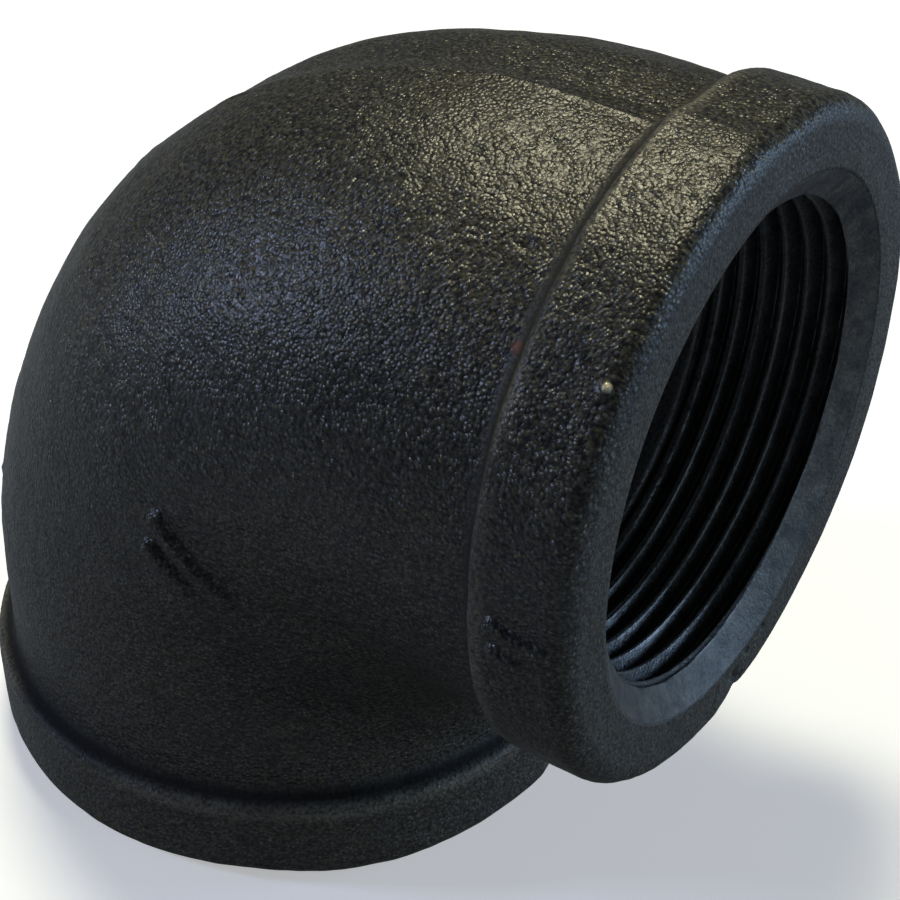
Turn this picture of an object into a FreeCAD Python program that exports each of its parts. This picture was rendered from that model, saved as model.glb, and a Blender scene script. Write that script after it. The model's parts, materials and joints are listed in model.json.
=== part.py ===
"""Cast 90 degree pipe elbow, female thread on both ends, nominal size 1-1/2 inch.

Frame: millimetres, +Z up. The origin is the centre of the lower socket's end face, and the
lower socket's axis is +Z. The side socket's axis is +X, at the height centre_to_end, and its end
face is at X = centre_to_end. The elbow is one iron casting. Each sub-part here is a region of
that casting, and neighbouring regions meet face to face.
"""
import FreeCAD, Part
import math
import os
import Sketcher

V = FreeCAD.Vector

# Driving dimensions in millimetres and degrees.
SIZES = {
    "centre_to_end": 49.3,
    "bend_radius": 30.0,
    "body_radius": 29.5,
    "waterway_radius": 24.6,
    "band_radius": 31.3,
    "band_width": 9.5,
    "band_front_round": 2.4,
    "band_rear_round": 0.9,
    "lining_radius": 25.2,
    "drill_radius": 22.225,
    "mouth_chamfer_depth": 1.9,
    "thread_pitch": 2.2087,
    "thread_root_radius": 23.95,
    "thread_root_flat": 0.08,
    "thread_flank_angle": 30.0,
    "thread_taper_angle": 1.7899,
    "thread_length": 17.4,
    "cutter_overrun": 0.055,
    "mark_relief": 0.5,
    "mark_bar_width": 1.3,
    "mark_reach": 8.0,
    "body_mark_long": 11.0,
    "body_mark_short": 6.0,
    "body_mark_gap": 3.0,
    "body_mark_tilt": 45.0,
    "body_mark_across": 10.4,
    "body_mark_above_bend": 20.0,
    "band_mark_long": 6.0,
    "band_mark_short": 3.2,
    "band_mark_gap": 2.6,
    "band_mark_tilt": 12.0,
    "band_mark_from_face": 4.7,
    "band_mark_drop": 0.9,
}

doc = FreeCAD.newDocument("pipe_elbow")
sheet = doc.addObject("Spreadsheet::Sheet", "sizes")
for row, (alias, value) in enumerate(SIZES.items(), start=1):
    sheet.set(f"A{row}", alias)
    sheet.set(f"B{row}", str(value))
    sheet.setAlias(f"B{row}", alias)
doc.recompute()


def size(expression):
    """The number that an expression on the sheet's cells gives now."""
    return float(sheet.evalExpression(expression))


def origin_plane(body, role):
    """One of a body's own origin planes, found by its role."""
    return next(item for item in body.Origin.OriginFeatures if item.Role == role)


def new_body(label):
    """An empty body whose label is the name of its file."""
    body = doc.addObject("PartDesign::Body", label)
    body.Label = label
    return body


def new_sketch(body, name, role, offset=None):
    """A sketch on an origin plane, moved along the plane's normal by an expression."""
    sketch = body.newObject("Sketcher::SketchObject", f"{body.Label}_{name}")
    sketch.AttachmentSupport = [(origin_plane(body, role), "")]
    sketch.MapMode = "FlatFace"
    if offset:
        sketch.setExpression(".AttachmentOffset.Base.z", offset)
    return sketch


def add_circle(sketch, radius):
    """A circle about the sketch's origin, with its radius bound to an expression."""
    edge = sketch.addGeometry(Part.Circle(V(0, 0, 0), V(0, 0, 1), size(radius)), False)
    sketch.addConstraint(Sketcher.Constraint("Coincident", edge, 3, -1, 1))
    datum = sketch.addConstraint(Sketcher.Constraint("Radius", edge, size(radius)))
    sketch.setExpression(f"Constraints[{datum}]", radius)


def pin_point(sketch, edge, end, across, up):
    """Hold one end of a sketch edge at two coordinates, each bound to an expression."""
    for kind, axis, where in (("DistanceX", -2, across), ("DistanceY", -1, up)):
        if where == "0":
            sketch.addConstraint(Sketcher.Constraint("PointOnObject", edge, end, axis))
            continue
        datum = sketch.addConstraint(
            Sketcher.Constraint(kind, -1, 1, edge, end, size(where))
        )
        sketch.setExpression(f"Constraints[{datum}]", where)


def add_outline(sketch, corners):
    """A closed outline of straight edges through corners given as pairs of expressions."""
    places = [V(size(across), size(up), 0) for across, up in corners]
    count = len(places)
    edges = [
        sketch.addGeometry(Part.LineSegment(places[i], places[(i + 1) % count]), False)
        for i in range(count)
    ]
    for i, edge in enumerate(edges):
        following = edges[(i + 1) % count]
        sketch.addConstraint(Sketcher.Constraint("Coincident", edge, 2, following, 1))
        pin_point(sketch, edge, 1, *corners[i])


def revolve(body, sketch, name):
    """A full turn of a sketch about its own vertical axis."""
    turn = body.newObject("PartDesign::Revolution", f"{body.Label}_{name}")
    turn.Profile = sketch
    turn.ReferenceAxis = (sketch, ["V_Axis"])
    turn.Angle = 360
    doc.recompute()
    return turn


def round_edge(body, base, name, radius, height):
    """Round the circular edge of a band that lies at the band's radius and at this height."""
    wanted = None
    for index, edge in enumerate(base.Shape.Edges, start=1):
        curve = edge.Curve
        if not isinstance(curve, Part.Circle):
            continue
        level = abs(curve.Center.z - size(height)) < 1e-6
        outer = abs(curve.Radius - size("sizes.band_radius")) < 1e-6
        if level and outer:
            wanted = f"Edge{index}"
    fillet = body.newObject("PartDesign::Fillet", f"{body.Label}_{name}")
    fillet.Base = (base, [wanted])
    fillet.setExpression("Radius", radius)
    doc.recompute()
    return fillet


def place_in_side_socket(item):
    """Turn a sub-part made about the lower socket's axis so that it sits in the side socket."""
    turn = FreeCAD.Rotation(V(0, 1, 0), -90)
    item.Placement = FreeCAD.Placement(V(0, 0, 0), turn)
    item.setExpression(".Placement.Base.x", "sizes.centre_to_end")
    item.setExpression(".Placement.Base.z", "sizes.centre_to_end")


def add_bend_line(body, name):
    """The bend's centreline: a quarter circle from the lower socket's axis to the side one's."""
    sketch = new_sketch(body, name, "XZ_Plane")
    centre = V(size("sizes.bend_radius"), size("sizes.centre_to_end - sizes.bend_radius"), 0)
    circle = Part.Circle(centre, V(0, 0, 1), size("sizes.bend_radius"))
    quarter = sketch.addGeometry(Part.ArcOfCircle(circle, math.pi / 2, math.pi), False)
    pin_point(sketch, quarter, 1, "sizes.bend_radius", "sizes.centre_to_end")
    pin_point(sketch, quarter, 2, "0", "sizes.centre_to_end - sizes.bend_radius")
    datum = sketch.addConstraint(Sketcher.Constraint("Radius", quarter, circle.Radius))
    sketch.setExpression(f"Constraints[{datum}]", "sizes.bend_radius")
    return sketch


def sweep(body, kind, name, radius):
    """A round bar, added or taken away along the bend's centreline."""
    start = "sizes.centre_to_end - sizes.bend_radius"
    profile = new_sketch(body, f"{name}_section", "XY_Plane", start)
    add_circle(profile, radius)
    spine = add_bend_line(body, f"{name}_line")
    doc.recompute()
    pipe = body.newObject(kind, f"{body.Label}_{name}")
    pipe.Profile = profile
    pipe.Spine = (spine, [])
    doc.recompute()
    return pipe


def make_bend():
    """The hollow quarter turn between the two sockets, with the waterway through it."""
    body = new_body("bend")
    solid = sweep(body, "PartDesign::AdditivePipe", "outside", "sizes.body_radius")
    hollow = sweep(body, "PartDesign::SubtractivePipe", "waterway", "sizes.waterway_radius")
    if hollow.Shape.Volume >= solid.Shape.Volume:
        raise RuntimeError("the waterway of the bend cut nothing")
    return body


def make_neck(label):
    """The short straight wall between a band and the bend, made about the lower socket's axis."""
    body = new_body(label)
    section = new_sketch(body, "section", "XZ_Plane")
    inner, outer = "sizes.lining_radius", "sizes.body_radius"
    low, high = "sizes.band_width", "sizes.centre_to_end - sizes.bend_radius"
    add_outline(section, [(inner, low), (outer, low), (outer, high), (inner, high)])
    doc.recompute()
    revolve(body, section, "wall")
    return body


def make_band(label):
    """A thickened end ring with its flat end face, made about the lower socket's axis."""
    body = new_body(label)
    section = new_sketch(body, "section", "XZ_Plane")
    inner, outer = "sizes.lining_radius", "sizes.band_radius"
    depth = "sizes.band_width"
    add_outline(section, [(inner, "0"), (outer, "0"), (outer, depth), (inner, depth)])
    doc.recompute()
    ring = revolve(body, section, "ring")
    front = round_edge(body, ring, "front_round", "sizes.band_front_round", "0")
    round_edge(body, front, "rear_round", "sizes.band_rear_round", depth)
    return body


def make_thread(label):
    """The threaded lining of one socket: a drilled wall with a tapered right-hand thread."""
    body = new_body(label)
    section = new_sketch(body, "section", "XZ_Plane")
    drilled, outer = "sizes.drill_radius", "sizes.lining_radius"
    chamfer = "sizes.mouth_chamfer_depth"
    inner_end = "sizes.centre_to_end - sizes.bend_radius"
    add_outline(
        section,
        [(outer, "0"), (outer, inner_end), (drilled, inner_end), (drilled, chamfer)],
    )
    doc.recompute()
    blank = revolve(body, section, "blank")

    root = "sizes.thread_root_radius"
    tip = "(sizes.drill_radius - sizes.cutter_overrun)"
    half_root = "sizes.thread_root_flat / 2"
    half_mouth = f"({half_root} + ({root} - {tip}) * tan(sizes.thread_flank_angle))"
    start = "sizes.thread_pitch"
    cutter = new_sketch(body, "cutter", "XZ_Plane")
    add_outline(
        cutter,
        [
            (root, f"-{start} - {half_root}"),
            (root, f"-{start} + {half_root}"),
            (tip, f"-{start} + {half_mouth}"),
            (tip, f"-{start} - {half_mouth}"),
        ],
    )
    doc.recompute()
    groove = body.newObject("PartDesign::SubtractiveHelix", f"{label}_groove")
    groove.Profile = cutter
    groove.ReferenceAxis = (cutter, ["V_Axis"])
    groove.Mode = "pitch-height-angle"
    groove.setExpression("Pitch", "sizes.thread_pitch")
    groove.setExpression("Height", "sizes.thread_length + sizes.thread_pitch")
    groove.setExpression("Angle", "-sizes.thread_taper_angle")
    groove.LeftHanded = False
    groove.Reversed = False
    doc.recompute()
    if groove.Shape.Volume >= blank.Shape.Volume:
        raise RuntimeError(f"the thread of {label} cut nothing")
    return body


def add_bar(name, length, tilt, across, height):
    """A straight bar, centred across and up, that reaches out of the casting towards -Y."""
    bar = doc.addObject("Part::Box", name)
    width = "sizes.mark_bar_width"
    bar.setExpression("Length", length)
    bar.setExpression("Width", "sizes.mark_reach")
    bar.setExpression("Height", width)
    bar.Placement = FreeCAD.Placement(
        V(0, 0, 0), FreeCAD.Rotation(V(0, 1, 0), size(tilt))
    )
    half_across = f"({length} * cos({tilt}) + {width} * sin({tilt})) / 2"
    half_up = f"({width} * cos({tilt}) - {length} * sin({tilt})) / 2"
    bar.setExpression(".Placement.Base.x", f"{across} - {half_across}")
    bar.setExpression(".Placement.Base.z", f"{height} - {half_up}")
    bar.setExpression(".Placement.Base.y", "-sizes.band_radius - sizes.mark_relief")
    return bar


def add_two_bars(label, tilt, across, height):
    """A long bar, and a shorter one beside it on the lower side."""
    gap = f"sizes.{label}_gap"
    long_bar = add_bar(f"{label}_long_bar", f"sizes.{label}_long", tilt, across, height)
    short_bar = add_bar(
        f"{label}_short_bar",
        f"sizes.{label}_short",
        tilt,
        f"{across} - {gap} * sin({tilt})",
        f"{height} - {gap} * cos({tilt})",
    )
    bars = doc.addObject("Part::MultiFuse", f"{label}_bars")
    bars.Shapes = [long_bar, short_bar]
    return bars


def keep_relief(label, bars, surface, top):
    """The part of the bars between the casting's surface and the top of the relief."""
    capped = doc.addObject("Part::Common", f"{label}_capped")
    capped.Base = bars
    capped.Tool = top
    mark = doc.addObject("Part::Cut", label)
    mark.Label = label
    mark.Base = capped
    mark.Tool = surface
    doc.recompute()
    return mark


def add_bend_skin(name, radius):
    """The bend's outer surface as a full ring about the bend's centre, at this tube radius."""
    ring = doc.addObject("Part::Torus", name)
    ring.setExpression("Radius1", "sizes.bend_radius")
    ring.setExpression("Radius2", radius)
    ring.Placement = FreeCAD.Placement(V(0, 0, 0), FreeCAD.Rotation(V(1, 0, 0), 90))
    ring.setExpression(".Placement.Base.x", "sizes.bend_radius")
    ring.setExpression(".Placement.Base.z", "sizes.centre_to_end - sizes.bend_radius")
    return ring


def add_band_skin(name, radius):
    """The side band's outer surface as a round bar at this radius."""
    bar = doc.addObject("Part::Cylinder", name)
    bar.setExpression("Radius", radius)
    bar.setExpression("Height", "sizes.centre_to_end")
    bar.Placement = FreeCAD.Placement(V(0, 0, 0), FreeCAD.Rotation(V(0, 1, 0), 90))
    bar.setExpression(".Placement.Base.z", "sizes.centre_to_end")
    return bar


def make_body_mark():
    """Two plain raised bars on the flank of the bend."""
    height = "sizes.centre_to_end - sizes.bend_radius + sizes.body_mark_above_bend"
    bars = add_two_bars(
        "body_mark", "sizes.body_mark_tilt", "sizes.body_mark_across", height
    )
    surface = add_bend_skin("bend_surface", "sizes.body_radius")
    top = add_bend_skin("bend_mark_top", "sizes.body_radius + sizes.mark_relief")
    return keep_relief("body_mark", bars, surface, top)


def make_band_mark():
    """Two plain raised bars on the side band, nearly along its axis."""
    across = "sizes.centre_to_end - sizes.band_mark_from_face"
    height = "sizes.centre_to_end - sizes.band_mark_drop"
    bars = add_two_bars("band_mark", "sizes.band_mark_tilt", across, height)
    surface = add_band_skin("band_surface", "sizes.band_radius")
    top = add_band_skin("band_mark_top", "sizes.band_radius + sizes.mark_relief")
    return keep_relief("band_mark", bars, surface, top)


def check_and_write(parts):
    """Stop on any failed object or bad solid, then write one file for each sub-part."""
    doc.recompute()
    for item in doc.Objects:
        if "Invalid" in item.State or "Error" in item.State:
            raise RuntimeError(f"{item.Label} is {item.State}")
    for part in parts:
        shape = part.Shape
        if shape.isNull() or not shape.isValid():
            raise RuntimeError(f"{part.Label} has no valid shape")
    os.makedirs("parts", exist_ok=True)
    for part in parts:
        part.Shape.exportStep(f"parts/{part.Label}.step")
        volume = part.Shape.Volume
        print(f"{part.Label}: {len(part.Shape.Solids)} solid, {volume:.1f} mm3")


casting = [make_bend()]
for region, make_region in (("neck", make_neck), ("band", make_band), ("thread", make_thread)):
    casting.append(make_region(f"lower_{region}"))
    side_region = make_region(f"side_{region}")
    place_in_side_socket(side_region)
    casting.append(side_region)
check_and_write(casting + [make_body_mark(), make_band_mark()])
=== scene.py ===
"""Looks of a cast iron pipe elbow with a female thread in each end.

Sizes are in millimetres until new_piece() turns them into Blender's metres. The main ones come
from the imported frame. The rest are the part's own roundings, thread and skin, named below. The
frame has the lower socket's axis on +Z with its end face at Z = 0, and the side socket's axis
on +X.
"""
import json
import math

import bmesh
import bpy
import numpy as np
from mathutils import Matrix, Vector


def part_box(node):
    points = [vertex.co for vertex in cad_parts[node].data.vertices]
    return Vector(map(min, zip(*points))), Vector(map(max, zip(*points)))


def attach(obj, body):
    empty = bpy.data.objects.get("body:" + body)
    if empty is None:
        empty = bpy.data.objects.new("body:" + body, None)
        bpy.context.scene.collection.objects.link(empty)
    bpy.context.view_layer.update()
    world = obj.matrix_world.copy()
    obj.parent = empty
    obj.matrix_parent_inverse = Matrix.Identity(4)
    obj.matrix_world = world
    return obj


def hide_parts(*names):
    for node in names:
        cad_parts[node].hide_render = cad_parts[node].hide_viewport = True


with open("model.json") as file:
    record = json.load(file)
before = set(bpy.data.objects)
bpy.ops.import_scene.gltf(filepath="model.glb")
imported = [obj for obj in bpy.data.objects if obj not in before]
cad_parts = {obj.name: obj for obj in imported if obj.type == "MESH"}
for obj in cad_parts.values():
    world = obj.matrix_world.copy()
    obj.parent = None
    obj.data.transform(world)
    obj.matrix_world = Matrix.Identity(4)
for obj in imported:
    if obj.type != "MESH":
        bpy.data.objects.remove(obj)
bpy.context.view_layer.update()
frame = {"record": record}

MM = 0.001
TAU = 2 * math.pi


# ---------------------------------------------------------------- sizes from the frame

def high(node, axis):
    """A CAD node's highest coordinate along one axis, in millimetres."""
    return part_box(node)[1][axis] / MM


def mount(name):
    """One of the record's mounts, by name."""
    return next(m for m in frame["record"]["mounts"] if m["name"] == name)


CENTRE_TO_END = high("side_band", 0)
BAND_RADIUS = high("lower_band", 1)
BAND_WIDTH = high("lower_band", 2)
BODY_RADIUS = high("lower_neck", 1)
LINING_RADIUS = high("lower_thread", 1)
SOCKET_DEPTH = high("lower_thread", 2)
BEND_RADIUS = CENTRE_TO_END - SOCKET_DEPTH
DRILL_RADIUS = mount("lower_thread")["dims"]["r_mm"]
DRILLED_LENGTH = mount("lower_thread")["dims"]["length_mm"]
CHAMFER_DEPTH = SOCKET_DEPTH - DRILLED_LENGTH

WATERWAY_RADIUS = 24.6
LINING_GAP = 0.02
BAND_FRONT_ROUND = 2.2
BAND_REAR_ROUND = 0.75
BAND_FILLET = 1.8
CROTCH_FILLET = 7.0
CROTCH_FULL_REACH = 4.0
CROTCH_REACH = 24.0
MOUTH_INSET = 0.09
MOUTH_OVAL = 0.05
MOUTH_RIPPLE = 0.03

PARTING_Y = -1.6
FOLD_RISE = 0.1
FOLD_RISE_WIDTH = 5
FOLD_DROP = 0.45
FOLD_DROP_WIDTH = 2.6
FOLD_FULLER = 0.45
FOLD_FULLER_BEND = 0.3
FULLER_START = 2.8
FULLER_END = 11.0
FLASH_HEIGHT = 0.14
FLASH_WIDTH = 0.4

AROUND = 420
BEND_ROWS = 172
WATERWAY_ROWS = 34
ANGLE_CROWDING = 0.125
SURFACE_STEPS = 7
SURFACE_SLOPE_STEP = 0.02
NORMAL_SLOPE_STEP = 0.05
RELIEF_SLOPE_STEP = 0.08
OUT_OF_REACH = 100
SAME_POINT = 0.004
SHARP_ANGLE = math.radians(32)

BEND_CENTRE = np.array([BEND_RADIUS, 0.0, SOCKET_DEPTH])


# ---------------------------------------------------------------- the casting's surface

class Noise:
    """A smooth random field of unit variance about one wavelength, the same at every run."""

    def __init__(self, seed, wavelength, waves=56):
        rng = np.random.default_rng(seed)
        direction = rng.normal(size=(waves, 3))
        direction /= np.linalg.norm(direction, axis=1)[:, None]
        length = wavelength * rng.uniform(0.75, 1.4, waves)
        self.wave = direction * (TAU / length)[:, None]
        self.phase = rng.uniform(0, TAU, waves)
        self.scale = math.sqrt(2 / waves)

    def __call__(self, points):
        return np.cos(points @ self.wave.T + self.phase).sum(1) * self.scale


WOBBLE = Noise(11, 24.0)
LUMPS = Noise(12, 6.5)
DIMPLES = Noise(13, 2.4)
PEEL = Noise(14, 1.15, 90)
PATCHES = Noise(15, 11.0)
WOBBLE_HEIGHT = 0.09
LUMP_HEIGHT = 0.028
DIMPLE_HEIGHT = 0.014
PEEL_HEIGHT = 0.006
FLAW_SHARPNESS = 1.4


def length_of(*parts):
    return np.sqrt(sum(part * part for part in parts))


def ease(value, low, high_end):
    """0 below low, 1 above high_end and a smooth step between; low may be the larger."""
    share = np.clip((value - low) / (high_end - low), 0, 1)
    return share * share * (3 - 2 * share)


def blend_union(first, second, reach):
    """The nearer of two distances, with the corner between them filled over reach."""
    reach = np.maximum(reach, 1e-6)
    overlap = np.maximum(reach - np.abs(first - second), 0) / reach
    return np.minimum(first, second) - overlap * overlap * reach / 4


def fillet_union(first, second, radius):
    """The nearer of two distances, with a round fillet of this radius in the corner."""
    corner = length_of(np.maximum(radius - first, 0), np.maximum(radius - second, 0))
    return np.maximum(radius, np.minimum(first, second)) - corner


def mirrored(points):
    """The same points seen from the other socket: a reflection across the bend's diagonal."""
    x, y, z = points.T
    return np.column_stack([CENTRE_TO_END - z, y, CENTRE_TO_END - x])


def half_tube(points):
    """Distance to the surface of the lower leg and the first half of the bend."""
    x, y, z = points.T
    leg = length_of(x, y, z - np.minimum(z, SOCKET_DEPTH))
    turn = np.arctan2(z - BEND_CENTRE[2], BEND_CENTRE[0] - x)
    turn = np.clip(turn, 0, math.pi / 4)
    near_x = BEND_CENTRE[0] - BEND_RADIUS * np.cos(turn)
    near_z = BEND_CENTRE[2] + BEND_RADIUS * np.sin(turn)
    arc = length_of(x - near_x, y, z - near_z)
    return np.minimum(leg, arc) - BODY_RADIUS


def tube(points):
    """Distance to the bend's outer surface, with the inner corner filled."""
    x, _, z = points.T
    from_centre = length_of(x - BEND_CENTRE[0], z - BEND_CENTRE[2])
    reach = CROTCH_FILLET * (1 - ease(from_centre, CROTCH_FULL_REACH, CROTCH_REACH))
    return blend_union(half_tube(points), half_tube(mirrored(points)), reach)


def band(points):
    """Distance to the lower band, a disc with a large front round and a small rear one."""
    x, y, z = points.T
    rear = z > BAND_WIDTH / 2
    corner = np.where(rear, BAND_REAR_ROUND, BAND_FRONT_ROUND)
    out = length_of(x, y) - (BAND_RADIUS - corner)
    up = np.where(rear, z - (BAND_WIDTH - corner), corner - z)
    outside = length_of(np.maximum(out, 0), np.maximum(up, 0))
    return outside + np.minimum(np.maximum(out, up), 0) - corner


def casting(points):
    """Distance to the whole casting's smooth outer surface, without its bores."""
    x, _, z = points.T
    start = BAND_WIDTH / 2
    body = np.maximum(tube(points), np.maximum(start - z, x - (CENTRE_TO_END - start)))
    body = fillet_union(body, band(points), BAND_FILLET)
    return fillet_union(body, band(mirrored(points)), BAND_FILLET)


def slope(field, points, step):
    """The gradient of a field, by central differences."""
    rows = []
    for axis in range(3):
        shift = np.zeros(3)
        shift[axis] = step
        rows.append((field(points + shift) - field(points - shift)) / (2 * step))
    return np.column_stack(rows)


def unit(vectors):
    return vectors / np.linalg.norm(vectors, axis=1)[:, None]


def onto_surface(points, field=casting):
    """Points moved along the field's slope until they lie on its surface."""
    for _ in range(SURFACE_STEPS):
        normal = unit(slope(field, points, SURFACE_SLOPE_STEP))
        points = points - normal * field(points)[:, None]
    return points


# Small flaws: place, radius, height (a pit is negative).
FLAWS = [
    ((47.4, -23.9, 69.5), 0.55, 0.42),
    ((46.9, -24.6, 69.0), 0.4, 0.22),
    ((35.7, -16.2, 74.0), 0.6, -0.35),
    ((49.3, 1.9, 21.4), 0.8, -0.6),
    ((48.9, 2.4, 19.4), 0.9, -0.45),
    ((49.3, 3.4, 20.6), 0.5, -0.3),
    ((49.3, 4.3, 23.0), 0.45, -0.4),
    ((49.3, 7.2, 23.9), 0.4, -0.35),
    ((12.0, 24.0, 62.0), 0.7, 0.3),
    ((-21.0, -19.5, 30.0), 0.5, 0.22),
    ((20.0, -28.0, 45.0), 0.5, -0.2),
    ((-8.0, 30.0, 5.0), 0.9, -0.4),
    ((44.0, 24.5, 68.8), 0.7, 0.35),
]


def parting_fold(points):
    """The fold along the mould's parting plane. Beyond it the casting is slightly fuller."""
    past = points[:, 1] - PARTING_Y
    rise = FOLD_RISE * np.clip(1 + past / FOLD_RISE_WIDTH, 0, 1)
    on_bend = ease(end_distance(points), BAND_WIDTH, BAND_WIDTH + 6)
    fuller = FOLD_FULLER + FOLD_FULLER_BEND * on_bend
    drop = FOLD_DROP * np.clip(past / FOLD_DROP_WIDTH, 0, 1)
    drop = drop - fuller * ease(past, FULLER_START, FULLER_END)
    flash = FLASH_HEIGHT * np.exp(-((past / FLASH_WIDTH) ** 2))
    flash = flash * ease(PATCHES(points), -0.2, 0.9)
    return np.where(past < 0, rise, FOLD_RISE - drop) + flash


def end_distance(points):
    """How far points lie from the nearer end face."""
    x, _, z = points.T
    return np.minimum(np.abs(z), np.abs(CENTRE_TO_END - x))


def bore_distance(points):
    """How far points lie outside the nearer lining's radius."""
    x, y, z = points.T
    past_lower, past_side = z > SOCKET_DEPTH, x < CENTRE_TO_END - SOCKET_DEPTH
    lower = length_of(x, y) + OUT_OF_REACH * past_lower
    side = length_of(y, z - CENTRE_TO_END) + OUT_OF_REACH * past_side
    return np.minimum(lower, side) - LINING_RADIUS


def relief(points):
    """How far the cast skin stands off the smooth surface: sand grain, lumps and flaws."""
    rough = 0.75 + 0.25 * np.tanh(PATCHES(points))
    grain = DIMPLE_HEIGHT * DIMPLES(points) + PEEL_HEIGHT * PEEL(points)
    height = WOBBLE_HEIGHT * WOBBLE(points) + LUMP_HEIGHT * LUMPS(points) + grain * rough
    height = height + parting_fold(points)
    on_face = 1 - ease(end_distance(points), 0.05, 0.8)
    calm = 1 - 0.6 * on_face
    near_bore = on_face * (1 - ease(bore_distance(points), 0.0, 1.6))
    height = height * calm * (1 - near_bore)
    for place, radius, tall in FLAWS:
        gap = np.linalg.norm(points - np.array(place), axis=1) / radius
        height = height + tall * np.exp(-gap ** 2 * FLAW_SHARPNESS)
    return height


def cast_skin(points):
    """Places and normals on the finished cast skin, from points near it."""
    points = onto_surface(points)
    normal = unit(slope(casting, points, NORMAL_SLOPE_STEP))
    height = relief(points)
    tilt = slope(relief, points, RELIEF_SLOPE_STEP)
    tilt -= normal * (tilt * normal).sum(1)[:, None]
    return points + normal * height[:, None], unit(normal - tilt)


# ---------------------------------------------------------------- making meshes

def skin_angles():
    """Angles round a section, closer together at the parting plane than on the flanks."""
    even = np.arange(AROUND) * TAU / AROUND
    return even - ANGLE_CROWDING * np.sin(2 * even)


def ring(radius, height, angle=None):
    """Points on a circle about the lower socket's axis."""
    angle = skin_angles() if angle is None else angle
    radius = np.broadcast_to(radius, angle.shape)
    height = np.full(len(angle), height)
    return np.column_stack([radius * np.cos(angle), radius * np.sin(angle), height])


def mouth_radius(angle):
    """Where the mouth chamfer meets the end face, slightly out of round."""
    uneven = MOUTH_OVAL * np.cos(2 * angle) + MOUTH_RIPPLE * np.sin(5 * angle)
    return LINING_RADIUS - MOUTH_INSET + uneven


def grid_faces(rows, columns, close_rows=True):
    """Quads between neighbouring rows of points, each row closed on itself."""
    row = np.arange(rows if close_rows else rows - 1)
    column = np.arange(columns)
    a, b = np.meshgrid(row, column, indexing="ij")
    following, beside = (a + 1) % rows, (b + 1) % columns
    corners = [
        a * columns + b,
        a * columns + beside,
        following * columns + beside,
        following * columns + b,
    ]
    return np.stack(corners, axis=-1).reshape(-1, 4)


def new_piece(name, points, faces, material, normals=None):
    """A Blender object from points in millimetres, with smooth faces."""
    mesh = bpy.data.meshes.new(name)
    mesh.from_pydata((points * MM).tolist(), [], faces.tolist())
    mesh.validate()
    mesh.polygons.foreach_set("use_smooth", [True] * len(mesh.polygons))
    if normals is not None:
        mesh.normals_split_custom_set_from_vertices(normals.tolist())
    mesh.update()
    piece = bpy.data.objects.new(name, mesh)
    bpy.context.scene.collection.objects.link(piece)
    mesh.materials.append(material)
    return piece


def stand_for(piece, slot, *nodes):
    """The piece rides on the casting and hides its CAD nodes."""
    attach(piece, "root")
    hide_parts(*nodes)


def plain_normals(points, faces):
    """Area-weighted vertex normals of a mesh of quads."""
    corner = points[faces]
    face = np.cross(corner[:, 2] - corner[:, 0], corner[:, 3] - corner[:, 1])
    total = np.zeros_like(points)
    for index in range(4):
        np.add.at(total, faces[:, index], face)
    size = np.linalg.norm(total, axis=1)
    return total / np.maximum(size, 1e-12)[:, None]


def new_casting(name, skin_rows, plain_rows, material):
    """A closed piece: rows on the cast skin, then plain rows back to where they began."""
    skin_points, skin_normals = cast_skin(np.vstack(skin_rows))
    points = np.vstack([skin_points, *plain_rows])
    faces = grid_faces(len(skin_rows) + len(plain_rows), AROUND)
    normals = plain_normals(points, faces)
    if (normals[: len(skin_points)] * skin_normals).sum() < 0:
        faces = faces[:, ::-1]
        normals = -normals
    normals[: len(skin_points)] = skin_normals
    return new_piece(name, points, faces, material, normals)


# ---------------------------------------------------------------- the bend

def spokes(out):
    """Directions round a section of the bend, in the plane of +Y and this direction."""
    angle = skin_angles()
    return -np.cos(angle)[:, None] * out + np.sin(angle)[:, None] * np.array([0, 1, 0])


def seam_rows():
    """Rows from the crease behind the lower band out to the neck, on the cast skin."""
    steps = [(1.1, 0.02), (0.86, 0.1), (0.62, 0.24), (0.42, 0.42), (0.26, 0.64), (0.12, 0.88)]
    return [ring(BODY_RADIUS + out, BAND_WIDTH + up) for out, up in steps]


FAR_OUT = 43.0
SEARCH_STEPS = 40
SEARCH_SHARE = 0.9


def fan_rows():
    """Rows round the bend, each in a plane through a line inside the elbow's corner.

    Each point starts outside the casting and steps inwards until it meets the surface.
    """
    start = BAND_WIDTH + 1.0
    pivot = np.array([CENTRE_TO_END - start, 0.0, start])
    rows = []
    for tilt in np.linspace(0, math.pi / 2, BEND_ROWS):
        out = np.array([-math.cos(tilt), 0.0, math.sin(tilt)])
        to_centre = BEND_CENTRE - pivot
        along = to_centre @ out
        across = to_centre @ to_centre - along * along
        reach = along + math.sqrt(max(BEND_RADIUS ** 2 - across, 0))
        leg_reach = pivot[0] / max(math.cos(tilt), 1e-9)
        if pivot[2] + leg_reach * math.sin(tilt) < SOCKET_DEPTH:
            reach = leg_reach
        side_reach = pivot[0] / max(math.sin(tilt), 1e-9)
        if pivot[0] - side_reach * math.cos(tilt) > BEND_RADIUS:
            reach = side_reach
        centre = pivot + reach * out
        spoke = spokes(out)
        distance = np.full(AROUND, FAR_OUT)
        for _ in range(SEARCH_STEPS):
            distance -= SEARCH_SHARE * tube(centre + spoke * distance[:, None])
        rows.append(centre + spoke * distance[:, None])
    return rows


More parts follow.
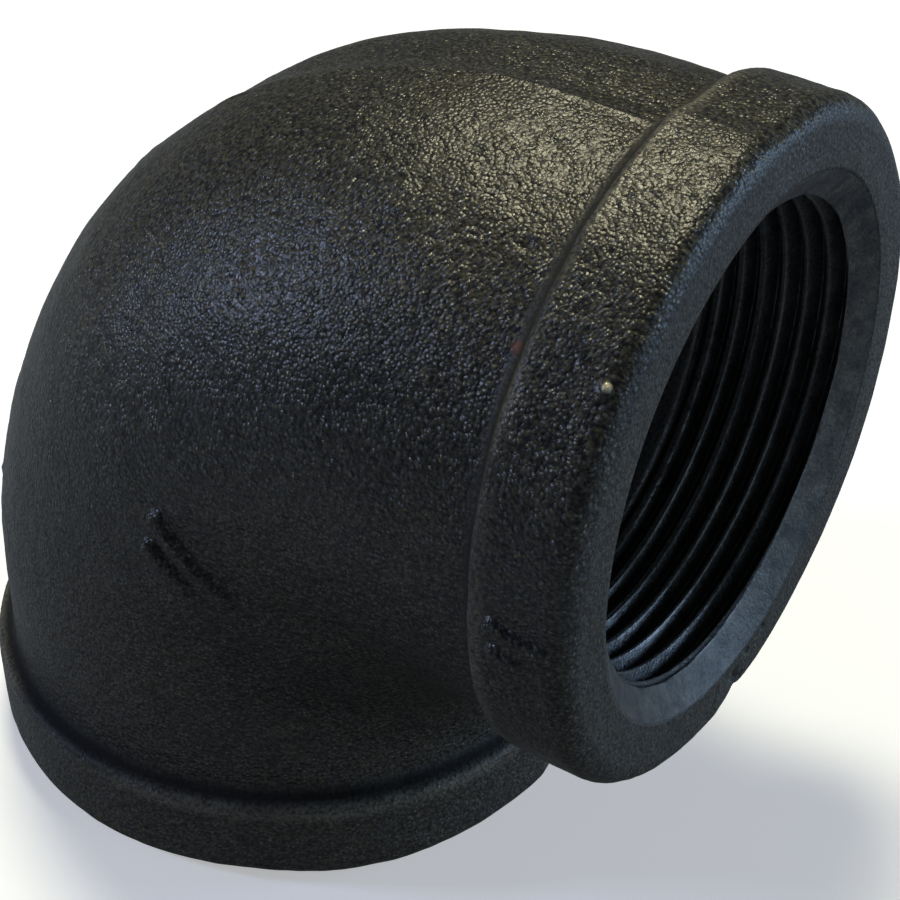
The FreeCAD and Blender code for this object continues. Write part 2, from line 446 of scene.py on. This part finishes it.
def inside_rows():
    """Rows along the waterway, from the side seam back to the lower one."""
    rows = []
    lower = [
        (LINING_RADIUS, BAND_WIDTH),
        (LINING_RADIUS, BAND_WIDTH + 3.0),
        (LINING_RADIUS, SOCKET_DEPTH - 3.0),
        (LINING_RADIUS, SOCKET_DEPTH - 0.4),
        (LINING_RADIUS, SOCKET_DEPTH + LINING_GAP),
        (WATERWAY_RADIUS, SOCKET_DEPTH + LINING_GAP),
    ]
    lower_rows = [ring(radius, height) for radius, height in lower]
    bend = []
    for turn in np.linspace(0, math.pi / 2, WATERWAY_ROWS)[1:-1]:
        out = np.array([-math.cos(turn), 0.0, math.sin(turn)])
        centre = BEND_CENTRE + BEND_RADIUS * out
        spoke = spokes(out)
        fade = math.sin(2 * turn) ** 0.5
        rough = 0.12 * LUMPS(centre + spoke * WATERWAY_RADIUS) * fade
        bend.append(centre + spoke * (WATERWAY_RADIUS + rough)[:, None])
    rows.extend(mirrored(row) for row in lower_rows)
    rows.extend(reversed(bend))
    rows.extend(reversed(lower_rows))
    return rows


def make_bend(material):
    """The bend: cast skin outside, rough waterway inside, closed at both seams."""
    seam = seam_rows()
    outside = seam + fan_rows() + [mirrored(row) for row in reversed(seam)]
    piece = new_casting("bend_casting", outside, inside_rows(), material)
    stand_for(piece, "cast_skin", "bend", "lower_neck", "side_neck")


# ---------------------------------------------------------------- the bands

def band_rows():
    """Rows from the crease behind the lower band, round its outside and over its face."""
    rows = [ring(BODY_RADIUS + 1.1, BAND_WIDTH + 0.02)]
    for step in np.linspace(0, 1, 6)[1:]:
        angle = math.pi / 2 * (1 - step)
        radius = BAND_RADIUS - BAND_REAR_ROUND * (1 - math.cos(angle))
        rows.append(ring(radius, BAND_WIDTH - BAND_REAR_ROUND * (1 - math.sin(angle))))
    top, bottom = BAND_WIDTH - BAND_REAR_ROUND, BAND_FRONT_ROUND
    for height in np.linspace(top, bottom, 20)[1:]:
        rows.append(ring(BAND_RADIUS, height))
    for step in np.linspace(0, 1, 12)[1:]:
        angle = math.pi / 2 * step
        radius = BAND_RADIUS - BAND_FRONT_ROUND * (1 - math.cos(angle))
        rows.append(ring(radius, BAND_FRONT_ROUND * (1 - math.sin(angle))))
    for radius in np.linspace(BAND_RADIUS - BAND_FRONT_ROUND, LINING_RADIUS, 13)[1:-1]:
        rows.append(ring(radius, 0.0))
    return rows


def make_band(name, node, material, side):
    """One band: cast skin outside, and plain walls where it meets the bend and lining."""
    skin = band_rows()
    hidden = [
        ring(mouth_radius(skin_angles()), 0.0),
        ring(LINING_RADIUS, 0.4),
        ring(LINING_RADIUS, BAND_WIDTH / 2),
        ring(LINING_RADIUS, BAND_WIDTH),
    ]
    if side:
        skin = [mirrored(row) for row in skin]
        hidden = [mirrored(row) for row in hidden]
    stand_for(new_casting(name, skin, hidden, material), "cast_skin", node)


# ---------------------------------------------------------------- the threads

THREAD_PITCH = 2.2087
THREAD_ROOT_RADIUS = 23.95
THREAD_ROOT_FLAT = 0.16
THREAD_TAPER = 1 / 32
THREAD_START = 1.3
THREAD_FULL_START = 2.7
THREAD_FULL_END = 15.2
THREAD_END = 16.8
THREAD_FLANK_SLOPE = math.sqrt(3)
SCRATCH_HEIGHT = 0.012
TEAR_HEIGHT = 0.004
CREST_TEAR_HEIGHT = 0.006
ROWS_PER_TURN = 20
THREAD_AROUND = 480


def thread_radius(angle, height):
    """The wall's radius inside a socket at an angle and a height above the end face."""
    root = THREAD_ROOT_RADIUS - height * THREAD_TAPER
    phase = (height / THREAD_PITCH - angle / TAU + 0.5) % 1 - 0.5
    from_root = np.abs(phase) * THREAD_PITCH - THREAD_ROOT_FLAT / 2
    groove = root - np.maximum(from_root, 0) * THREAD_FLANK_SLOPE
    share = ease(height, THREAD_END, THREAD_FULL_END)
    share = share * ease(height, THREAD_START, THREAD_FULL_START)
    groove = DRILL_RADIUS + (groove - DRILL_RADIUS) * share
    mouth = mouth_radius(angle)
    chamfer = mouth - (mouth - DRILL_RADIUS) * height / CHAMFER_DEPTH
    return np.maximum(np.maximum(groove, DRILL_RADIUS), chamfer)


def thread_points():
    """A grid of points on a socket's wall whose rows follow the thread's helix."""
    turns = SOCKET_DEPTH / THREAD_PITCH
    rows = int(math.ceil((turns + 1) * ROWS_PER_TURN)) + 1
    angle = np.arange(THREAD_AROUND) * TAU / THREAD_AROUND
    grid = []
    for row in range(rows):
        height = (row / ROWS_PER_TURN - 1 + angle / TAU) * THREAD_PITCH
        height = np.clip(height, 0.0, SOCKET_DEPTH)
        radius = thread_radius(angle, height)
        grid.append(np.column_stack([radius * np.cos(angle), radius * np.sin(angle), height]))
    return np.array(grid)


def make_thread(name, node, material, side):
    """One threaded lining: a right-hand tapered groove, the mouth chamfer and plain walls."""
    grid = thread_points()
    rows = len(grid)
    scratch = Noise(31 if side else 32, 1.6)
    tears = Noise(33 if side else 34, 0.5, 80)
    flat = grid.reshape(-1, 3)
    bore = length_of(flat[:, 0], flat[:, 1])
    worn = ease(flat[:, 2], 0.0, 0.8) * ease(flat[:, 2], SOCKET_DEPTH, SOCKET_DEPTH - 0.8)
    crest = 1 - ease(bore, DRILL_RADIUS, DRILL_RADIUS + 0.5)
    change = SCRATCH_HEIGHT * scratch(flat)
    change = worn * (change + (TEAR_HEIGHT + CREST_TEAR_HEIGHT * crest) * tears(flat))
    flat[:, :2] *= (1 + change / bore)[:, None]
    index = np.arange(rows * THREAD_AROUND).reshape(rows, THREAD_AROUND)
    quads = []
    for row in range(rows - 1):
        near, far = index[row], index[row + 1]
        # A row ends one pitch higher than it began, so its last point meets the row above.
        beside = np.append(near[1:], index[min(row + ROWS_PER_TURN, rows - 1)][0])
        far_beside = np.append(far[1:], index[min(row + 1 + ROWS_PER_TURN, rows - 1)][0])
        quads.append(np.column_stack([near, beside, far_beside, far]))
    faces = np.vstack(quads)
    angle = np.arange(THREAD_AROUND) * TAU / THREAD_AROUND
    mouth = ring(mouth_radius(angle), 0.0, angle)
    outside = LINING_RADIUS - LINING_GAP
    walls = [
        ring(outside, 0.3, angle),
        ring(outside, SOCKET_DEPTH / 2, angle),
        ring(outside, SOCKET_DEPTH, angle),
        ring((LINING_RADIUS + DRILL_RADIUS) / 2, SOCKET_DEPTH, angle),
        ring(DRILL_RADIUS, SOCKET_DEPTH, angle),
    ]
    outer = np.vstack([mouth, *walls])
    outer_faces = grid_faces(len(walls) + 1, THREAD_AROUND, close_rows=False) + len(flat)
    points = np.vstack([flat, outer])
    faces = np.vstack([faces, outer_faces[:, ::-1]])
    if side:
        x, y, z = points.T
        points = np.column_stack([CENTRE_TO_END - z, y, CENTRE_TO_END + x])
    piece = new_piece(name, points, faces, material)
    tidy_mesh(piece.data)
    stand_for(piece, "machined_thread", node)


def tidy_mesh(mesh):
    """Join points that coincide, drop faces with no area and turn the rest outwards."""
    work = bmesh.new()
    work.from_mesh(mesh)
    bmesh.ops.remove_doubles(work, verts=work.verts, dist=SAME_POINT * MM)
    bmesh.ops.dissolve_degenerate(work, edges=work.edges, dist=SAME_POINT / 2 * MM)
    bmesh.ops.recalc_face_normals(work, faces=work.faces)
    for face in work.faces:
        face.smooth = True
    for edge in work.edges:
        if len(edge.link_faces) == 2:
            edge.smooth = edge.calc_face_angle(0) < SHARP_ANGLE
    work.to_mesh(mesh)
    work.free()


# ---------------------------------------------------------------- the raised marks

# Bars of a mark: shift along and across the mark, length, width and height.
BODY_BARS = [(0.0, 0.0, 11.0, 1.5, 1.0), (-0.6, -3.0, 6.0, 1.5, 0.9)]
BAND_BARS = [(0.0, 0.0, 6.0, 1.4, 0.75), (-0.5, -2.6, 3.2, 1.4, 0.7)]
PAD_MARGIN_ALONG = 0.6
PAD_MARGIN_ACROSS = 1.1
PAD_STEP_ALONG = 0.16
PAD_STEP_ACROSS = 0.12
PAD_DEPTH = 0.25
FOOT_DEPTH = 0.09


def bar_height(across, along, length, width, tall):
    """A rounded bar's height over a flat patch, with a soft foot."""
    past = np.maximum(np.abs(along) - (length - width) / 2, 0)
    reach = length_of(across, past)
    return tall * (1 - ease(reach, width * 0.22, width * 0.95)) - FOOT_DEPTH


def make_mark(name, node, material, centre, heading, bars):
    """Raised bars on the cast skin, each a closed pad whose foot sinks into the casting."""
    all_points, all_faces = [], []
    start = 0
    centre, heading = np.array(centre), unit(np.array([heading]))[0]
    out = unit(slope(casting, onto_surface(centre[None]), NORMAL_SLOPE_STEP))[0]
    heading = unit((heading - out * (heading @ out))[None])[0]
    beside = np.cross(out, heading)
    for along_shift, across_shift, length, width, tall in bars:
        count_along = int(length / PAD_STEP_ALONG)
        count_across = int(2 * width * PAD_MARGIN_ACROSS / PAD_STEP_ACROSS)
        end = length / 2 + width * PAD_MARGIN_ALONG
        along = np.linspace(-end, end, count_along)
        across = np.linspace(-1, 1, count_across) * width * PAD_MARGIN_ACROSS
        u, v = np.meshgrid(along, across, indexing="ij")
        u, v = u.ravel(), v.ravel()
        base = centre + np.outer(u + along_shift, heading) + np.outer(v + across_shift, beside)
        skin, normal = cast_skin(base)
        ragged = 0.9 + 0.1 * np.tanh(LUMPS(skin))
        top = skin + normal * (bar_height(v, u, length, width, tall) * ragged)[:, None]
        bottom = skin - normal * PAD_DEPTH
        points = np.vstack([top, bottom])
        index = np.arange(len(u)).reshape(count_along, count_across)
        a, b = index[:-1, :-1].ravel(), index[1:, :-1].ravel()
        c, d = index[1:, 1:].ravel(), index[:-1, 1:].ravel()
        upper = np.column_stack([a, b, c, d])
        edge = np.concatenate([index[:, 0], index[-1, 1:], index[-2::-1, -1], index[0, -2:0:-1]])
        following = np.roll(edge, -1)
        rim = np.column_stack([following, edge, edge + len(u), following + len(u)])
        faces = np.vstack([upper, upper[:, ::-1] + len(u), rim])
        all_points.append(points)
        all_faces.append(faces + start)
        start += len(points)
    piece = new_piece(name, np.vstack(all_points), np.vstack(all_faces), material)
    tidy_mesh(piece.data)
    stand_for(piece, "cast_skin", node)


# ---------------------------------------------------------------- materials

class Nodes:
    """Short names for building a material's node tree."""

    def __init__(self, name):
        self.material = bpy.data.materials.new(name)
        self.material.use_nodes = True
        self.tree = self.material.node_tree
        self.shader = self.tree.nodes["Principled BSDF"]
        coordinates = self.tree.nodes.new("ShaderNodeTexCoord")
        self.place = coordinates.outputs["Object"]

    def add(self, kind, **settings):
        node = self.tree.nodes.new(kind)
        for key, value in settings.items():
            setattr(node, key, value)
        return node

    def join(self, source, target):
        self.tree.links.new(source, target)

    def noise(self, size_mm, detail=2.0, roughness=0.5, place=None):
        """Noise whose features are about this size."""
        node = self.add("ShaderNodeTexNoise")
        node.inputs["Scale"].default_value = 1 / (size_mm * MM)
        node.inputs["Detail"].default_value = detail
        node.inputs["Roughness"].default_value = roughness
        self.join(place or self.place, node.inputs["Vector"])
        return node.outputs["Fac"]

    def ramp(self, source, *stops):
        """A colour ramp with (position, colour or grey) stops."""
        node = self.add("ShaderNodeValToRGB")
        while len(node.color_ramp.elements) < len(stops):
            node.color_ramp.elements.new(0.5)
        for element, (position, colour) in zip(node.color_ramp.elements, stops):
            element.position = position
            if not isinstance(colour, tuple):
                colour = (colour, colour, colour)
            element.color = (*colour, 1)
        self.join(source, node.inputs["Fac"])
        return node.outputs["Color"]

    def math(self, operation, first, second=None):
        node = self.add("ShaderNodeMath", operation=operation)
        for socket, value in zip(node.inputs, (first, second)):
            if isinstance(value, (int, float)):
                socket.default_value = value
            elif value is not None:
                self.join(value, socket)
        return node.outputs[0]

    def mix(self, share, first, second, blend="MIX"):
        node = self.add("ShaderNodeMix", data_type="RGBA", blend_type=blend)
        colours = [socket for socket in node.inputs if socket.type == "RGBA"]
        for socket, value in zip((node.inputs["Factor"], *colours), (share, first, second)):
            if isinstance(value, (int, float)):
                socket.default_value = value
            elif isinstance(value, tuple):
                socket.default_value = (*value, 1)
            else:
                self.join(value, socket)
        return next(socket for socket in node.outputs if socket.type == "RGBA")

    def bump(self, height, distance_mm, after=None):
        """A bump whose height of 1 stands for this many millimetres."""
        node = self.add("ShaderNodeBump")
        node.inputs["Strength"].default_value = 1.0
        node.inputs["Distance"].default_value = distance_mm * MM
        self.join(height, node.inputs["Height"])
        if after:
            self.join(after, node.inputs["Normal"])
        return node.outputs["Normal"]


def near_point(nodes, place, radius):
    """1 at a place given in millimetres, falling to 0 at this radius."""
    shift = nodes.add("ShaderNodeVectorMath", operation="DISTANCE")
    nodes.join(nodes.place, shift.inputs[0])
    shift.inputs[1].default_value = tuple(c * MM for c in place)
    far = nodes.math("DIVIDE", shift.outputs["Value"], radius * MM)
    return nodes.math("SUBTRACT", 1.0, nodes.math("MINIMUM", far, 1.0))


def socket_radius(nodes):
    """The distance from the nearer socket's axis, in metres."""
    split = nodes.add("ShaderNodeSeparateXYZ")
    nodes.join(nodes.place, split.inputs[0])
    x, y, z = split.outputs
    up = nodes.math("SUBTRACT", z, CENTRE_TO_END * MM)
    squared = nodes.math("MULTIPLY", y, y)
    lower = nodes.math("ADD", nodes.math("MULTIPLY", x, x), squared)
    side = nodes.math("ADD", nodes.math("MULTIPLY", up, up), squared)
    return nodes.math("SQRT", nodes.math("MINIMUM", lower, side))


def socket_depth(nodes):
    """The distance from the nearer end face, in metres."""
    split = nodes.add("ShaderNodeSeparateXYZ")
    nodes.join(nodes.place, split.inputs[0])
    x, _, z = split.outputs
    return nodes.math("MINIMUM", z, nodes.math("SUBTRACT", CENTRE_TO_END * MM, x))


def near_circle(nodes, radius, depth, reach):
    """1 on a circle about the nearer socket's axis, falling to 0 at this reach from it."""
    out = nodes.math("SUBTRACT", socket_radius(nodes), radius * MM)
    past = nodes.math("SUBTRACT", socket_depth(nodes), depth * MM)
    squares = nodes.math("ADD", nodes.math("MULTIPLY", out, out), nodes.math("MULTIPLY", past, past))
    far = nodes.math("DIVIDE", nodes.math("SQRT", squares), reach * MM)
    return nodes.math("SUBTRACT", 1.0, nodes.math("MINIMUM", far, 1.0))


def crease_share(nodes):
    """1 in the creases behind the bands, falling to 0 away from them: the mask for the painted shade
    there and for the creases' duller, calmer skin.
    """
    return near_circle(nodes, BODY_RADIUS + 0.9, BAND_WIDTH + 0.5, 2.3)


def band_edge_highlight_share(nodes):
    """1 along the bands' rear edges: the mask for the lighter colour painted there as a highlight."""
    return nodes.ramp(near_circle(nodes, BAND_RADIUS, BAND_WIDTH - 0.6, 1.7), (0.2, 0.0), (0.7, 0.8))


GRAIN = 0.37
TIP_COLOUR = (0.22, 0.213, 0.19)
RUST_SPOT = (38.6, -22.1, 68.9)
PALE_SPOT = (47.5, -24.0, 69.8)


def make_cast_skin():
    """Sand-cast iron under thin black varnish: sandy grain whose tips are worn bright."""
    n = Nodes("cast_iron_varnished")
    fine = n.noise(0.4, 2.0, 0.6)
    peel = n.noise(0.8, 2.0, 0.5)
    lumps = n.noise(2.0, 2.0, 0.5)
    broad = n.noise(16.0, 2.0, 0.5)

    cell = n.add("ShaderNodeTexVoronoi")
    cell.inputs["Scale"].default_value = 1 / (GRAIN * MM)
    n.join(n.place, cell.inputs["Vector"])
    pick = n.add("ShaderNodeSeparateColor")
    n.join(cell.outputs["Color"], pick.inputs[0])
    reach, chance, hue = cell.outputs["Distance"], pick.outputs[0], pick.outputs[1]
    chosen = n.ramp(chance, (0.3, 0.0), (0.95, 1.0))
    tip = n.mix(1.0, n.ramp(reach, (0.1, 1.0), (0.6, 0.0)), chosen, "MULTIPLY")
    patchy = n.ramp(n.noise(1.5, 3.0, 0.6), (0.38, 0.55), (0.62, 1.0))
    tip = n.mix(1.0, tip, patchy, "MULTIPLY")

    crease = n.ramp(crease_share(n), (0.3, 0.0), (0.8, 1.0))
    depth_mm = n.math("MULTIPLY", socket_depth(n), 1 / MM)
    on_face = n.ramp(depth_mm, (0.15, 1.0), (0.9, 0.0))
    # Painted shade: fewer bright tips in the creases behind the bands, so that the creases stay dark.
    tip = n.mix(1.0, tip, n.ramp(crease, (0.0, 1.0), (1.0, 0.25)), "MULTIPLY")

    tone = n.ramp(fine, (0.4, (0.003, 0.003, 0.005)), (0.62, (0.052, 0.05, 0.04)))
    speck = n.ramp(n.noise(0.34, 2.0, 0.6), (0.35, (0.35, 0.42, 0.75)), (0.65, (1.5, 1.4, 1.05)))
    colour = n.mix(1.0, tone, speck, "MULTIPLY")
    broad_tone = n.ramp(broad, (0.35, (0.8, 0.85, 0.92)), (0.7, (1.15, 1.12, 1.0)))
    colour = n.mix(1.0, colour, broad_tone, "MULTIPLY")
    tint = n.ramp(hue, (0.1, (0.8, 0.9, 1.25)), (0.9, (1.15, 1.1, 0.85)))
    colour = n.mix(tip, colour, n.mix(1.0, TIP_COLOUR, tint, "MULTIPLY"))
    # Painted shade: the colour is darkened in the creases behind the bands, for the shade that falls in
    # them.
    colour = n.mix(1.0, colour, n.ramp(crease, (0.0, 1.0), (1.0, 0.15)), "MULTIPLY")
    # Painted highlight: a lighter, mottled colour along the bands' rear edges, for the light that their
    # rounded edges catch.
    painted_edge_highlight = n.mix(1.0, band_edge_highlight_share(n), n.ramp(broad, (0.4, 0.2), (0.6, 1.0)), "MULTIPLY")
    painted_edge_highlight = n.mix(1.0, painted_edge_highlight, n.ramp(fine, (0.35, 0.2), (0.6, 1.0)), "MULTIPLY")
    colour = n.mix(painted_edge_highlight, colour, (0.16, 0.15, 0.125))
    rust_share = n.ramp(near_point(n, RUST_SPOT, 0.9), (0.2, 0.0), (0.75, 0.8))
    colour = n.mix(rust_share, colour, (0.12, 0.035, 0.01))
    # A small pale spot of colour on the raised flaw at this place.
    pale_spot_share = n.ramp(near_point(n, PALE_SPOT, 0.7), (0.3, 0.0), (0.6, 1.0))
    colour = n.mix(pale_spot_share, colour, (0.5, 0.46, 0.33))
    n.join(colour, n.shader.inputs["Base Color"])
    n.join(tip, n.shader.inputs["Metallic"])

    rough = n.ramp(n.noise(0.9, 3.0, 0.6), (0.3, 0.3), (0.7, 0.43))
    rough = n.mix(crease, rough, (0.85, 0.85, 0.85))
    rough = n.mix(on_face, rough, (0.5, 0.5, 0.5))
    n.join(rough, n.shader.inputs["Roughness"])
    n.shader.inputs["IOR"].default_value = 1.5

    calm = n.math("SUBTRACT", 1.0, n.math("MULTIPLY", on_face, 0.2))
    calm = n.math("SUBTRACT", calm, n.math("MULTIPLY", crease, 0.65))
    size = n.mix(1.0, n.ramp(chance, (0.0, 0.2), (1.0, 1.0)), patchy, "MULTIPLY")
    grain = n.math("MULTIPLY", n.math("SUBTRACT", 1.0, reach), size)
    normal = n.bump(lumps, 0.06)
    normal = n.bump(n.math("MULTIPLY", peel, calm), 0.1, normal)
    normal = n.bump(n.math("MULTIPLY", grain, calm), 0.175, normal)
    normal = n.bump(n.math("MULTIPLY", fine, calm), 0.03, normal)
    n.join(normal, n.shader.inputs["Normal"])
    return n.material


def make_machined_thread():
    """Machined iron, darkened by oil: fine turning lines, stains and a lighter colour on the crests as a
    painted highlight.
    """
    n = Nodes("machined_iron_oiled")
    radius, depth = socket_radius(n), socket_depth(n)
    turned = n.add("ShaderNodeCombineXYZ")
    n.join(radius, turned.inputs["X"])
    n.join(depth, turned.inputs["Y"])
    lines = n.noise(0.09, 1.0, 0.5, turned.outputs[0])
    stain = n.noise(2.4, 4.0, 0.65)
    fine = n.noise(0.35, 3.0, 0.6)

    tone = n.ramp(stain, (0.3, (0.03, 0.032, 0.036)), (0.7, (0.09, 0.095, 0.1)))
    speck = n.ramp(fine, (0.3, 0.6), (0.72, 1.4))
    colour = n.mix(1.0, tone, speck, "MULTIPLY")
    # Painted highlight: a lighter colour along the thread's crests, mottled by fine noise, for the light
    # the narrow crests catch.
    from_crest = n.math("SUBTRACT", radius, DRILL_RADIUS * MM)
    crest = n.ramp(n.math("DIVIDE", from_crest, 0.5 * MM), (0.0, 0.75), (0.5, 0.0))
    crest = n.mix(1.0, crest, n.ramp(fine, (0.35, 0.3), (0.6, 1.0)), "MULTIPLY")
    colour = n.mix(crest, colour, (0.17, 0.17, 0.165))
    from_mouth = n.math("DIVIDE", depth, CHAMFER_DEPTH * MM)
    mouth = n.ramp(from_mouth, (0.85, 0.65), (1.0, 0.0))
    mottle = n.ramp(stain, (0.35, (0.03, 0.032, 0.034)), (0.65, (0.115, 0.108, 0.092)))
    colour = n.mix(mouth, colour, n.mix(1.0, mottle, speck, "MULTIPLY"))
    n.join(colour, n.shader.inputs["Base Color"])
    rough = n.ramp(fine, (0.3, 0.24), (0.75, 0.42))
    rough = n.mix(n.ramp(from_mouth, (0.85, 1.0), (1.0, 0.0)), rough, (0.5, 0.5, 0.5))
    n.join(rough, n.shader.inputs["Roughness"])
    n.shader.inputs["Metallic"].default_value = 0.35
    normal = n.bump(lines, 0.012)
    normal = n.bump(n.noise(0.7, 3.0, 0.6), 0.05, normal)
    normal = n.bump(fine, 0.04, normal)
    n.join(normal, n.shader.inputs["Normal"])
    return n.material


def make_floor_material():
    """A plain pale floor, bright enough to stay white round the soft shadow."""
    n = Nodes("pale_floor")
    tone = n.ramp(n.noise(60.0, 3.0, 0.5), (0.3, (0.8, 0.83, 0.92)), (0.7, (0.84, 0.87, 0.96)))
    n.join(tone, n.shader.inputs["Base Color"])
    n.shader.inputs["Roughness"].default_value = 0.85
    n.shader.inputs["Emission Color"].default_value = (1, 1, 1, 1)
    n.shader.inputs["Emission Strength"].default_value = 0.4
    return n.material


# ---------------------------------------------------------------- stage

# The camera's lengths are in millimetres, the floor's and the lights' in metres.
CAMERA_AZIMUTH = 32.464
CAMERA_ELEVATION = 37.361
CAMERA_ROLL = 0.778
CAMERA_DISTANCE = 226.46
CAMERA_AIM_RIGHT = -5.02
CAMERA_AIM_UP = 11.45
LENS = 93.42
SENSOR_WIDTH = 36

LIGHT_DISTANCE = 0.9
FLOOR_REACH = 1.2
FLOOR_CURVE = 1.6
FLOOR_SIDES = 64
FLOOR_CURVE_STEPS = 12
FLOOR_GAP = 0.0002
# The room's brightness from straight down (0) to straight up (1), level at 0.5.
ROOM_STOPS = [
    (0.0, 0.06),
    (0.12, 0.1),
    (0.24, 0.3),
    (0.32, 0.34),
    (0.42, 0.14),
    (0.54, 0.07),
    (1.0, 0.05),
]
ROOM_TINT = (0.87, 0.95, 1.02)


def view_axes(azimuth, elevation):
    """The right, up and backward directions of a camera at these angles."""
    a, e = math.radians(azimuth), math.radians(elevation)
    back = Vector((math.sin(a) * math.cos(e), -math.cos(a) * math.cos(e), math.sin(e)))
    right = Vector((math.cos(a), math.sin(a), 0))
    return right, back.cross(right), back


def make_camera():
    """A camera at the photograph's viewing angle."""
    right, up, back = view_axes(CAMERA_AZIMUTH, CAMERA_ELEVATION)
    turn = Matrix.Rotation(math.radians(CAMERA_ROLL), 3, back)
    right, up = turn @ right, turn @ up
    aim = Vector((CENTRE_TO_END / 2, 0, CENTRE_TO_END / 2))
    place = aim + right * CAMERA_AIM_RIGHT + up * CAMERA_AIM_UP + back * CAMERA_DISTANCE
    data = bpy.data.cameras.new("camera")
    data.lens = LENS
    data.sensor_width = SENSOR_WIDTH
    data.clip_start = 0.01
    data.clip_end = 20
    camera = bpy.data.objects.new("camera", data)
    camera.matrix_world = Matrix.Translation(place * MM) @ Matrix((right, up, back)).transposed().to_4x4()
    bpy.context.scene.collection.objects.link(camera)
    bpy.context.scene.camera = camera


def add_light(name, azimuth, elevation, size, power, colour, height=1.0):
    """An area light that faces the elbow from this direction, sizes in metres."""
    data = bpy.data.lights.new(name, "AREA")
    data.shape = "RECTANGLE"
    data.size, data.size_y = size, size * height
    data.energy = power
    data.color = colour
    light = bpy.data.objects.new(name, data)
    right, up, back = view_axes(azimuth, elevation)
    centre = Vector((CENTRE_TO_END / 2, 0, CENTRE_TO_END / 2)) * MM
    rows = Matrix((right, up, back)).transposed().to_4x4()
    light.matrix_world = Matrix.Translation(centre + back * LIGHT_DISTANCE) @ rows
    light.visible_camera = False
    bpy.context.scene.collection.objects.link(light)


def make_floor():
    """A wide pale floor that curves up into a wall, unseen by the elbow's own reflections."""
    profile = [(FLOOR_REACH, 0.0)]
    for step in range(1, FLOOR_CURVE_STEPS + 1):
        angle = math.pi / 2 * step / FLOOR_CURVE_STEPS
        out = FLOOR_REACH + FLOOR_CURVE * math.sin(angle)
        profile.append((out, FLOOR_CURVE * (1 - math.cos(angle))))
    profile.append((FLOOR_REACH + FLOOR_CURVE, 2 * FLOOR_CURVE))
    count = FLOOR_SIDES
    corners = [(0.0, 0.0, 0.0)]
    for radius, height in profile:
        for index in range(count):
            angle = TAU * index / count
            corners.append((radius * math.cos(angle), radius * math.sin(angle), height))
    faces = [(0, 1 + index, 1 + (index + 1) % count) for index in range(count)]
    for row in range(len(profile) - 1):
        low, up = 1 + row * count, 1 + (row + 1) * count
        for index in range(count):
            beside = (index + 1) % count
            faces.append((low + index, up + index, up + beside, low + beside))
    mesh = bpy.data.meshes.new("floor")
    mesh.from_pydata(corners, [], faces)
    mesh.polygons.foreach_set("use_smooth", [True] * len(mesh.polygons))
    mesh.materials.append(make_floor_material())
    floor = bpy.data.objects.new("floor", mesh)
    floor.location.z = -FLOOR_GAP
    floor.visible_glossy = False
    floor.visible_diffuse = False
    floor.visible_shadow = False
    bpy.context.scene.collection.objects.link(floor)


def make_world():
    """A dim room: lightest somewhat below the elbow, where a floor's light would come from."""
    world = bpy.data.worlds.new("world")
    world.use_nodes = True
    tree = world.node_tree
    direction = tree.nodes.new("ShaderNodeTexCoord").outputs["Generated"]
    split = tree.nodes.new("ShaderNodeSeparateXYZ")
    tree.links.new(direction, split.inputs[0])
    spread = tree.nodes.new("ShaderNodeMapRange")
    spread.inputs["From Min"].default_value = -1.0
    tree.links.new(split.outputs["Z"], spread.inputs["Value"])
    ramp = tree.nodes.new("ShaderNodeValToRGB")
    while len(ramp.color_ramp.elements) < len(ROOM_STOPS):
        ramp.color_ramp.elements.new(0.5)
    for element, (position, grey) in zip(ramp.color_ramp.elements, ROOM_STOPS):
        element.position = position
        element.color = (*(grey * share for share in ROOM_TINT), 1)
    tree.links.new(spread.outputs["Result"], ramp.inputs["Fac"])
    tree.links.new(ramp.outputs["Color"], tree.nodes["Background"].inputs["Color"])
    bpy.context.scene.world = world


def make_stage():
    """The floor, the soft lights and the room."""
    make_floor()
    make_world()
    add_light("key_warm", -138, 67, 0.22, 5.8, (1.0, 0.94, 0.66))
    add_light("fill_cool", -61, 24, 0.12, 2.1, (0.56, 0.68, 1.0))
    add_light("window_cool", 133, 8, 0.34, 3.0, (0.48, 0.7, 1.0), 0.7)
    add_light("mouth_soft", 93, 14, 0.5, 1.0, (0.62, 0.82, 1.0))
    bpy.context.scene.view_settings.view_transform = "Standard"


# ---------------------------------------------------------------- build

skin_material = make_cast_skin()
thread_material = make_machined_thread()

make_bend(skin_material)
make_band("lower_band_casting", "lower_band", skin_material, side=False)
make_band("side_band_casting", "side_band", skin_material, side=True)
make_thread("lower_thread_lining", "lower_thread", thread_material, side=False)
make_thread("side_thread_lining", "side_thread", thread_material, side=True)
make_mark("body_mark_bars", "body_mark", skin_material, (10.4, -29.6, 39.3), (1, 0, -1), BODY_BARS)
make_mark("band_mark_bars", "band_mark", skin_material, (44.6, -31.3, 48.4), (1, 0, -0.21), BAND_BARS)

make_camera()
make_stage()
